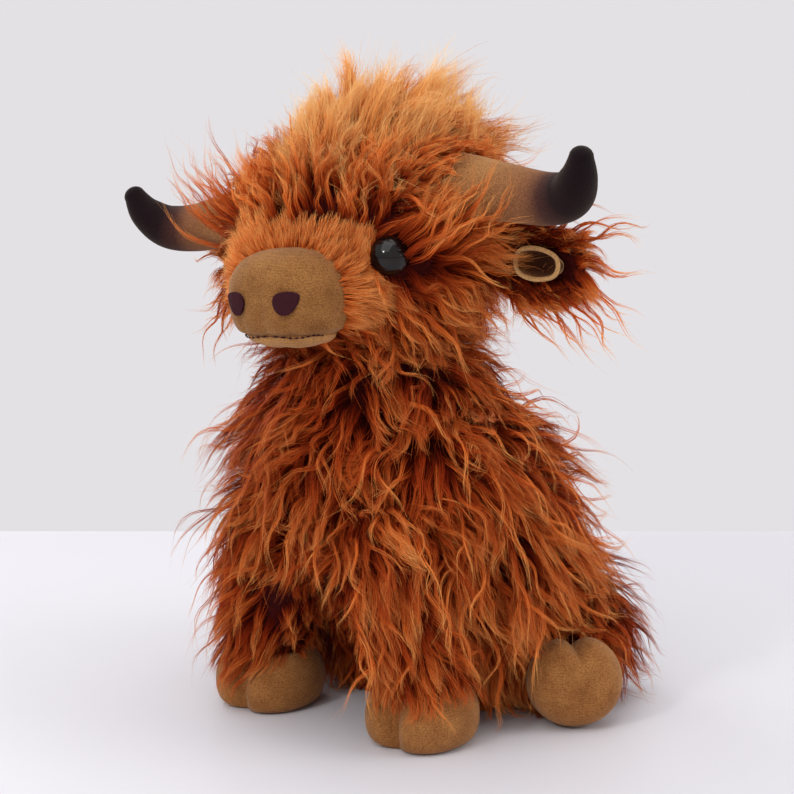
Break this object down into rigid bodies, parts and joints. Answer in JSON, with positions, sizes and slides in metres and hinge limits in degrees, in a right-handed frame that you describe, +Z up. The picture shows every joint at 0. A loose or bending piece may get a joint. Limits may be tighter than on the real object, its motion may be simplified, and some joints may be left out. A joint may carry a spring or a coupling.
{
  "type": "plush cow",
  "caption": "Seated long-haired plush cow with a velour muzzle, curved soft horns, leaf ears, glossy eyes, velour hooves and a tufted tail.",
  "frame": {"origin": "centre of the bottom face of the whole toy's bounding box, on the plane it sits on", "axes": "+Z up; the cow looks along -Y; the cow's own left is +X"},
  "size_m": [0.2378, 0.1846, 0.2698],
  "materials": {
    "long_fur": "long wavy rust-brown faux fur",
    "crown_fur": "fluffy golden-brown faux fur",
    "velour": "short tan velour",
    "horn_velour": "short velour, shaded from tan at the root to near black at the tip",
    "nostril_thread": "dark maroon embroidery",
    "eye_plastic": "polished, near black",
    "washer_plastic": "plain moulded, hidden",
    "fibre": "loose white fibre filling, hidden",
    "pellet_cloth": "plain woven bag, hidden",
    "seat_cloth": "flat short-pile cloth"
  },
  "bodies": {
    "body": {"body_cover": "long_fur", "seat_panel": "seat_cloth", "body_stuffing": "fibre", "pellet_bag": "pellet_cloth"},
    "neck": {"neck_stuffing": "fibre"},
    "head": {"head_cover": "long_fur", "head_stuffing": "fibre", "crown_panel": "crown_fur", "muzzle_cover": "velour", "lower_lip": "velour", "muzzle_stuffing": "fibre", "mouth_thread": "nostril_thread", "nostril_left": "nostril_thread", "nostril_right": "nostril_thread", "eye_left": "eye_plastic", "eye_right": "eye_plastic", "eye_washer_left": "washer_plastic", "eye_washer_right": "washer_plastic", "horn_cover_left": "horn_velour", "horn_cover_right": "horn_velour", "horn_stuffing_left": "fibre", "horn_stuffing_right": "fibre"},
    "ear_left": {"ear_back_left": "long_fur", "ear_lining_left": "velour"},
    "ear_right": {"ear_back_right": "long_fur", "ear_lining_right": "velour"},
    "front_leg_left": {"front_hoof_left": "velour", "front_leg_cover_left": "long_fur", "front_leg_stuffing_left": "fibre"},
    "front_leg_right": {"front_hoof_right": "velour", "front_leg_cover_right": "long_fur", "front_leg_stuffing_right": "fibre"},
    "hind_leg_left": {"hind_hoof_left": "velour", "hind_leg_cover_left": "long_fur", "hind_leg_stuffing_left": "fibre"},
    "hind_leg_right": {"hind_hoof_right": "velour", "hind_leg_cover_right": "long_fur", "hind_leg_stuffing_right": "fibre"},
    "tail": {"tail": "long_fur", "tail_tuft": "crown_fur"}
  },
  "joints": [
    {"name": "head_turn", "type": "hinge", "parent": "body", "child": "neck", "pos_m": [-0.0008, -0.01921, 0.135], "axis": [0, 0, 1], "range_deg": [-22, 22], "stiffness_Nm_per_rad": 0.8},
    {"name": "head_nod", "type": "hinge", "parent": "neck", "child": "head", "pos_m": [-0.0008, -0.01921, 0.135], "axis": [1, 0, 0], "range_deg": [-10, 10], "stiffness_Nm_per_rad": 2},
    {"name": "ear_flap_left", "type": "hinge", "parent": "head", "child": "ear_left", "pos_m": [0.04882, -0.01321, 0.19691], "axis": [0, 1, 0], "range_deg": [-12, 20], "stiffness_Nm_per_rad": 0.05},
    {"name": "ear_flap_right", "type": "hinge", "parent": "head", "child": "ear_right", "pos_m": [-0.05088, -0.01321, 0.18907], "axis": [0, -1, 0], "range_deg": [-12, 20], "stiffness_Nm_per_rad": 0.05},
    {"name": "front_leg_swing_left", "type": "hinge", "parent": "body", "child": "front_leg_left", "pos_m": [0.0272, -0.02121, 0.101], "axis": [-1, 0, 0], "range_deg": [0, 25], "stiffness_Nm_per_rad": 0.4},
    {"name": "front_leg_swing_right", "type": "hinge", "parent": "body", "child": "front_leg_right", "pos_m": [-0.0288, -0.02121, 0.101], "axis": [-1, 0, 0], "range_deg": [0, 25], "stiffness_Nm_per_rad": 0.4},
    {"name": "hind_leg_splay_left", "type": "hinge", "parent": "body", "child": "hind_leg_left", "pos_m": [0.0472, 0.04079, 0.019], "axis": [0, 0, 1], "range_deg": [-4, 12], "stiffness_Nm_per_rad": 0.3},
    {"name": "hind_leg_splay_right", "type": "hinge", "parent": "body", "child": "hind_leg_right", "pos_m": [-0.0488, 0.04079, 0.019], "axis": [0, 0, -1], "range_deg": [-4, 12], "stiffness_Nm_per_rad": 0.3},
    {"name": "tail_swing", "type": "hinge", "parent": "body", "child": "tail", "pos_m": [-0.0008, 0.07846, 0.066], "axis": [0, 1, 0], "range_deg": [-22, 22], "stiffness_Nm_per_rad": 0.02}
  ]
}
